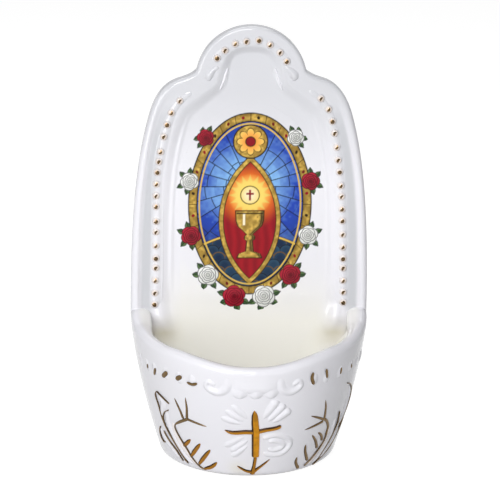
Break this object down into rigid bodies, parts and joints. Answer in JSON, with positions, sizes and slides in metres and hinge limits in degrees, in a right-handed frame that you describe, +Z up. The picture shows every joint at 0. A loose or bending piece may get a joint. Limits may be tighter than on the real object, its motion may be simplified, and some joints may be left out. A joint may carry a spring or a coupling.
{
  "type": "holy water stoup",
  "caption": "Wall-hung holy water stoup of glazed ceramic: arched back plate with a beaded border and a printed picture, and a half-round water bowl with relief ornament.",
  "frame": {"origin": "on the standing plane, under the middle of the stoup's box", "axes": "+Z up along the plate, +Y out of the plate's flat back towards the wall, the bowl faces -Y, +X to the viewer's right"},
  "size_m": [0.1084, 0.062, 0.2],
  "materials": {
    "glaze": "glossy white glaze",
    "gold": "burnished gold lustre on relief",
    "print": "printed enamel under clear glaze"
  },
  "bodies": {
    "root": {"back_plate": "glaze", "bowl": "glaze", "bead_band_crest": "glaze", "rim_shell": "glaze", "bead_band_left": "glaze", "neck_scroll_left": "glaze", "rim_scroll_left": "glaze", "rim_bead_left_1": "glaze", "rim_bead_left_2": "glaze", "rim_bead_left_3": "glaze", "rim_bead_left_4": "glaze", "rim_bead_left_5": "glaze", "rim_bead_left_6": "glaze", "ray_upper_left": "glaze", "ray_lower_left": "glaze", "wheat_stem_left": "glaze", "leaf_front_left": "glaze", "leaf_side_left": "glaze", "leaf_low_left": "glaze", "bead_band_right": "glaze", "neck_scroll_right": "glaze", "rim_scroll_right": "glaze", "rim_bead_right_1": "glaze", "rim_bead_right_2": "glaze", "rim_bead_right_3": "glaze", "rim_bead_right_4": "glaze", "rim_bead_right_5": "glaze", "rim_bead_right_6": "glaze", "ray_upper_right": "glaze", "ray_lower_right": "glaze", "wheat_stem_right": "glaze", "leaf_front_right": "glaze", "leaf_side_right": "glaze", "leaf_low_right": "glaze", "cross": "gold", "cross_foot": "gold", "wheat_grain_left_1": "gold", "wheat_grain_left_2": "gold", "wheat_grain_left_3": "gold", "wheat_grain_left_4": "gold", "wheat_tuft_left": "gold", "wheat_grain_right_1": "gold", "wheat_grain_right_2": "gold", "wheat_grain_right_3": "gold", "wheat_grain_right_4": "gold", "wheat_tuft_right": "gold", "picture_transfer": "print"}
  },
  "joints": []
}
